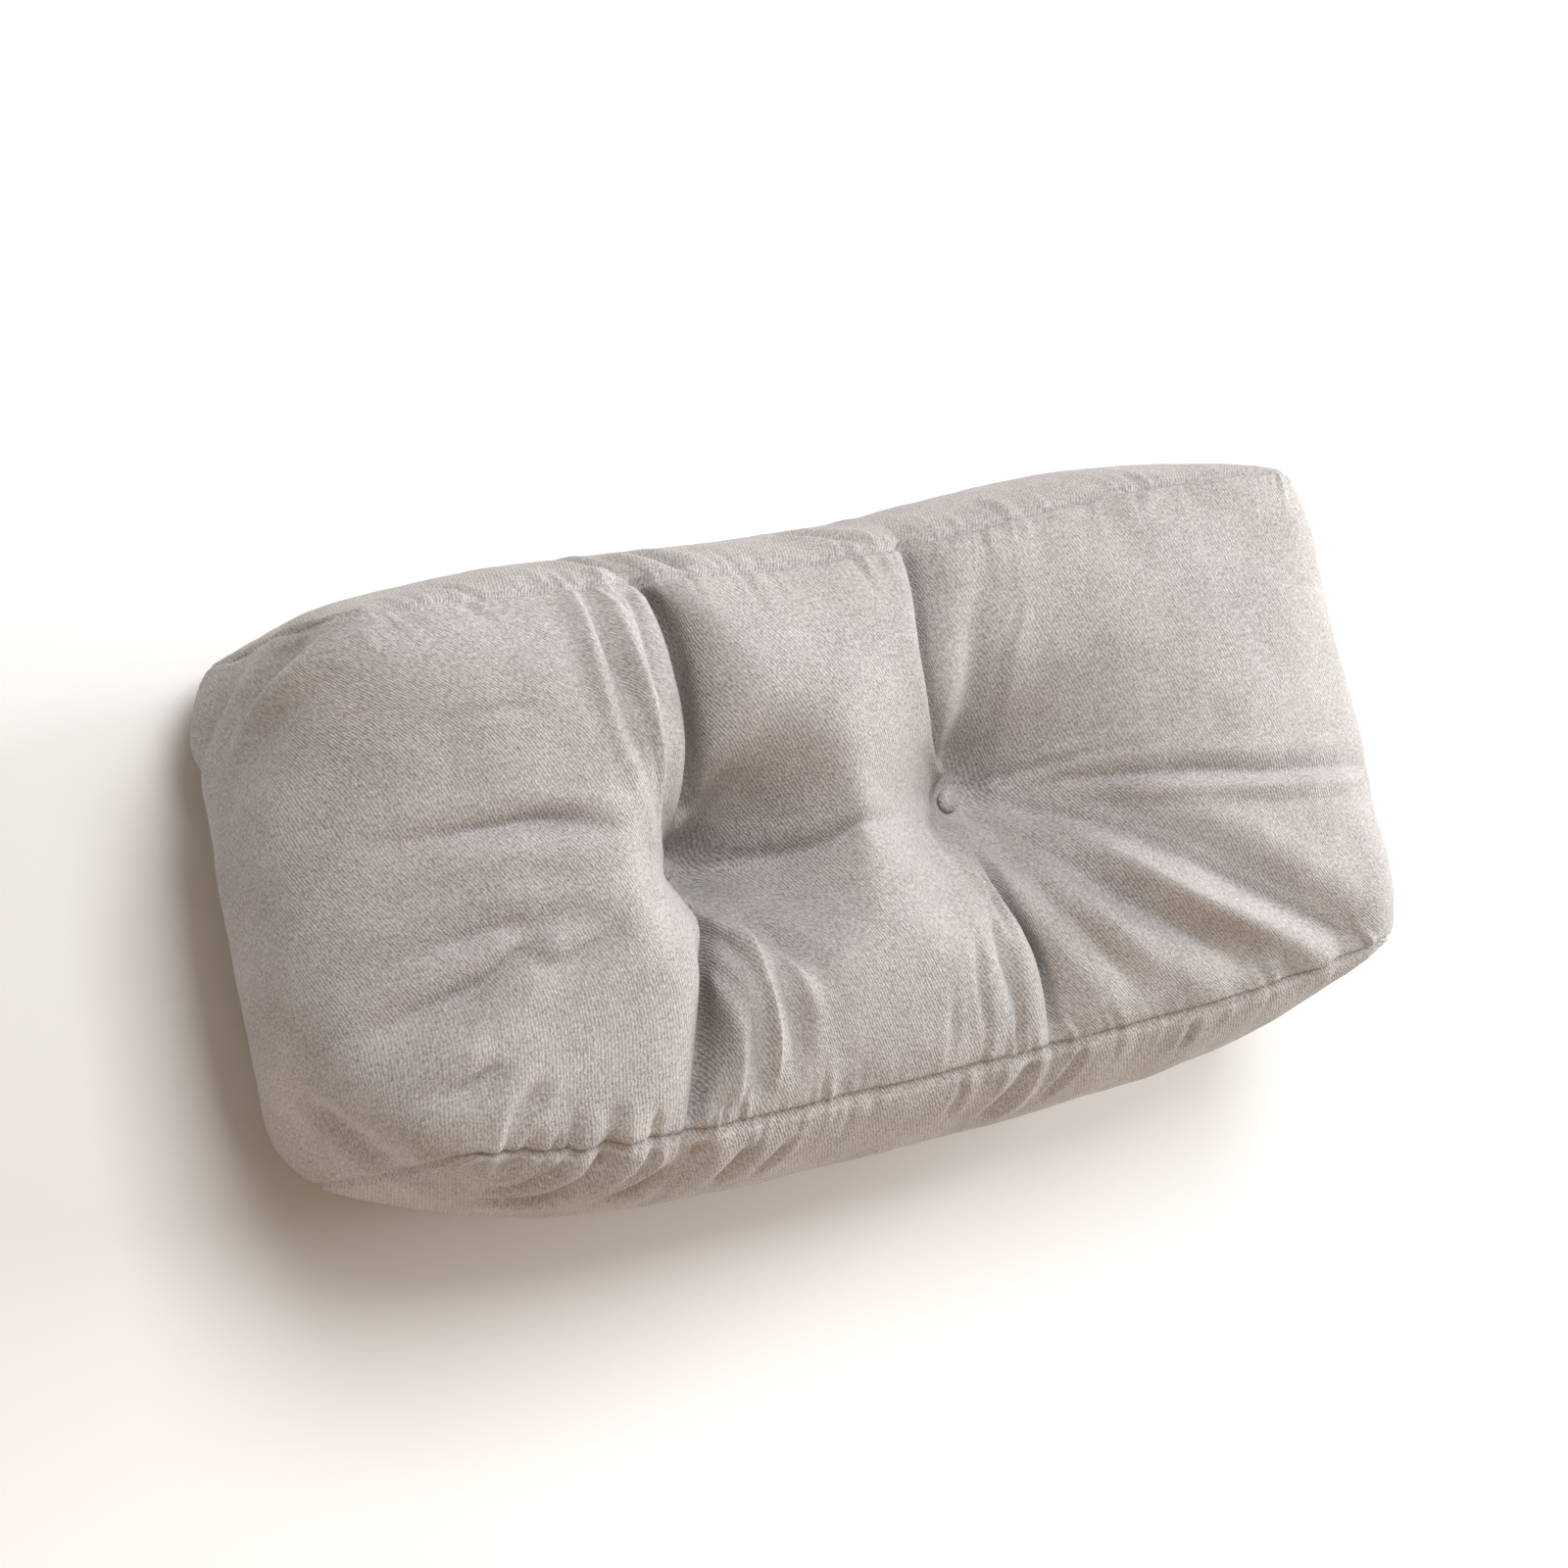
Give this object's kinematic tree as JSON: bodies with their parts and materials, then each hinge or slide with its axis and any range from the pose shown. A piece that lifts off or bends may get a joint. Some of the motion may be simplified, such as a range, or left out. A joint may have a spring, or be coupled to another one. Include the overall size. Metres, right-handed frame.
{
  "type": "tufted lumbar support pillow",
  "caption": "Deep box-shaped lumbar support pillow, lying on its back, with a brushed cloth cover tufted into soft sections by fabric covered buttons.",
  "frame": {"origin": "middle of the pillow's outline, on the surface it lies on", "axes": "+X along the pillow's length, +Y towards its upper long edge, +Z out of its tufted face"},
  "size_m": [0.6503, 0.337, 0.2071],
  "materials": {
    "cover": "brushed fine twill with a short soft nap, matt",
    "button_cover": "the cover's own cloth stretched over a domed button"
  },
  "bodies": {
    "root": {"pillow": "cover", "button_left": "button_cover", "button_right": "button_cover"}
  },
  "joints": []
}
